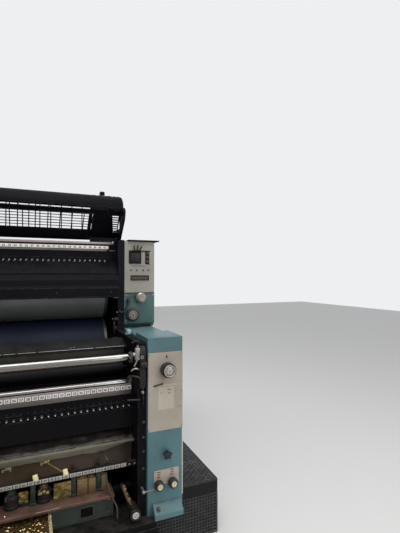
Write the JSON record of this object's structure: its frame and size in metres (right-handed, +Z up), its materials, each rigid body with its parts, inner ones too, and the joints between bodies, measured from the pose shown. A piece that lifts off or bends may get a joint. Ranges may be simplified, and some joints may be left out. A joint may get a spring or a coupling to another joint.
{
  "type": "two-colour sheet-fed offset printing press",
  "caption": "Two-colour sheet-fed offset press with stacked printing units, hinged ink duct hood, teal side columns, side steps and a plain delivery end.",
  "frame": {"origin": "on the floor, under the middle of the press's overall box", "axes": "+Z up, +X to the operator side, -Y to the end with the ink ducts"},
  "size_m": [2.536, 3.363, 2.1686],
  "materials": {
    "black_paint": "satin, worn at the edges",
    "teal_paint": "hammered, semi gloss",
    "beige_paint": "semi gloss",
    "bright_steel": "polished",
    "plate_metal": "dull",
    "blanket_rubber": "satin",
    "ink_rubber": "satin",
    "scale_plastic": "matt",
    "brown_paint": "worn",
    "green_grey_paint": "worn",
    "brass": "satin",
    "tread_metal": "oily",
    "board_wood": "matt",
    "knob_plastic": "satin",
    "cast_metal": "machined"
  },
  "bodies": {
    "machine": {"plinth": "black_paint", "operator_side_frame": "black_paint", "drive_side_frame": "black_paint", "operator_column": "teal_paint", "drive_column": "teal_paint", "rear_columns": "teal_paint", "front_panels": "beige_paint", "operator_gear_case": "teal_paint", "drive_gear_case": "teal_paint", "operator_upper_housing": "teal_paint", "drive_upper_housing": "teal_paint", "control_box": "beige_paint", "drive_box": "beige_paint", "box_shelves": "black_paint", "operator_step": "black_paint", "drive_step": "black_paint", "upper_ink_duct": "black_paint", "lower_ink_duct": "black_paint", "ink_keys": "bright_steel", "scale_strips": "scale_plastic", "common_cylinder": "cast_metal", "lower_blanket_cylinder": "blanket_rubber", "lower_plate_cylinder": "plate_metal", "inking_rollers": "ink_rubber", "upper_covers": "black_paint", "apron_plate": "black_paint", "lower_guard": "black_paint", "guard_bar": "green_grey_paint", "register_bar": "cast_metal", "brass_stops": "brass", "lay_blocks": "tread_metal", "lay_uprights": "green_grey_paint", "lay_drums": "cast_metal", "shaft_ends": "black_paint", "front_ledge": "brown_paint", "lower_panel": "green_grey_paint", "tread_plate": "tread_metal", "roller_brackets": "cast_metal", "tower_back_panel": "teal_paint", "tower_top_cover": "black_paint", "delivery_cover": "black_paint", "pile_board": "board_wood"},
    "hood": {"hood_cover": "black_paint", "hood_grille": "black_paint", "hood_ends": "black_paint"},
    "plate_cylinder": {"upper_plate_cylinder": "plate_metal"},
    "blanket_cylinder": {"upper_blanket_cylinder": "blanket_rubber"},
    "top_ink_roller": {"upper_fountain_roller": "bright_steel"},
    "low_ink_roller": {"lower_fountain_roller": "bright_steel"},
    "damping_roller": {"water_roller": "bright_steel"},
    "wheel": {"top_wheel": "knob_plastic"},
    "clamp_knob": {"star_knob": "knob_plastic"},
    "setting_knob_left": {"left_knob": "knob_plastic"},
    "setting_knob_right": {"right_knob": "knob_plastic"},
    "housing_knob": {"upper_knob": "knob_plastic"},
    "housing_bright_knob": {"bright_knob": "bright_steel"},
    "lever": {"housing_lever": "teal_paint"}
  },
  "joints": [
    {"name": "blanket_spin", "type": "hinge", "parent": "machine", "child": "blanket_cylinder", "pos_m": [0, -0.75028, 1.11122], "axis": [1, 0, 0], "continuous": true},
    {"name": "plate_spin", "type": "hinge", "parent": "machine", "child": "plate_cylinder", "pos_m": [0, -0.75028, 1.49162], "axis": [1, 0, 0], "continuous": true},
    {"name": "top_fountain_spin", "type": "hinge", "parent": "machine", "child": "top_ink_roller", "pos_m": [0, -0.7515, 1.79762], "axis": [1, 0, 0], "continuous": true},
    {"name": "low_fountain_spin", "type": "hinge", "parent": "machine", "child": "low_ink_roller", "pos_m": [0, -1.2785, 0.986], "axis": [1, 0, 0], "continuous": true},
    {"name": "water_roller_spin", "type": "hinge", "parent": "machine", "child": "damping_roller", "pos_m": [0, -1.3035, 1.13], "axis": [1, 0, 0], "continuous": true},
    {"name": "hood_lift", "type": "hinge", "parent": "machine", "child": "hood", "pos_m": [0, -0.2315, 1.88062], "axis": [-1, 0, 0], "range_deg": [0, 55]},
    {"name": "wheel_turn", "type": "hinge", "parent": "machine", "child": "wheel", "pos_m": [0.863, -1.4745, 1.086], "axis": [0, -1, 0], "continuous": true},
    {"name": "clamp_turn", "type": "hinge", "parent": "machine", "child": "clamp_knob", "pos_m": [0.863, -1.4715, 0.633], "axis": [0, -1, 0], "range_deg": [-180, 180]},
    {"name": "left_knob_turn", "type": "hinge", "parent": "machine", "child": "setting_knob_left", "pos_m": [0.817, -1.4715, 0.478], "axis": [0, -1, 0], "range_deg": [-150, 150]},
    {"name": "right_knob_turn", "type": "hinge", "parent": "machine", "child": "setting_knob_right", "pos_m": [0.895, -1.4715, 0.478], "axis": [0, -1, 0], "range_deg": [-150, 150]},
    {"name": "upper_knob_turn", "type": "hinge", "parent": "machine", "child": "housing_knob", "pos_m": [0.803, -0.9415, 1.334], "axis": [0, -1, 0], "range_deg": [-150, 150]},
    {"name": "bright_knob_turn", "type": "hinge", "parent": "machine", "child": "housing_bright_knob", "pos_m": [0.858, -0.9415, 1.44662], "axis": [0, -1, 0], "continuous": true},
    {"name": "lever_swing", "type": "hinge", "parent": "machine", "child": "lever", "pos_m": [0.778, -0.9415, 1.42662], "axis": [0, 1, 0], "range_deg": [0, 60]}
  ],
  "couplings": [
    {"joint": "plate_spin", "follows": "blanket_spin", "ratio": -1}
  ]
}
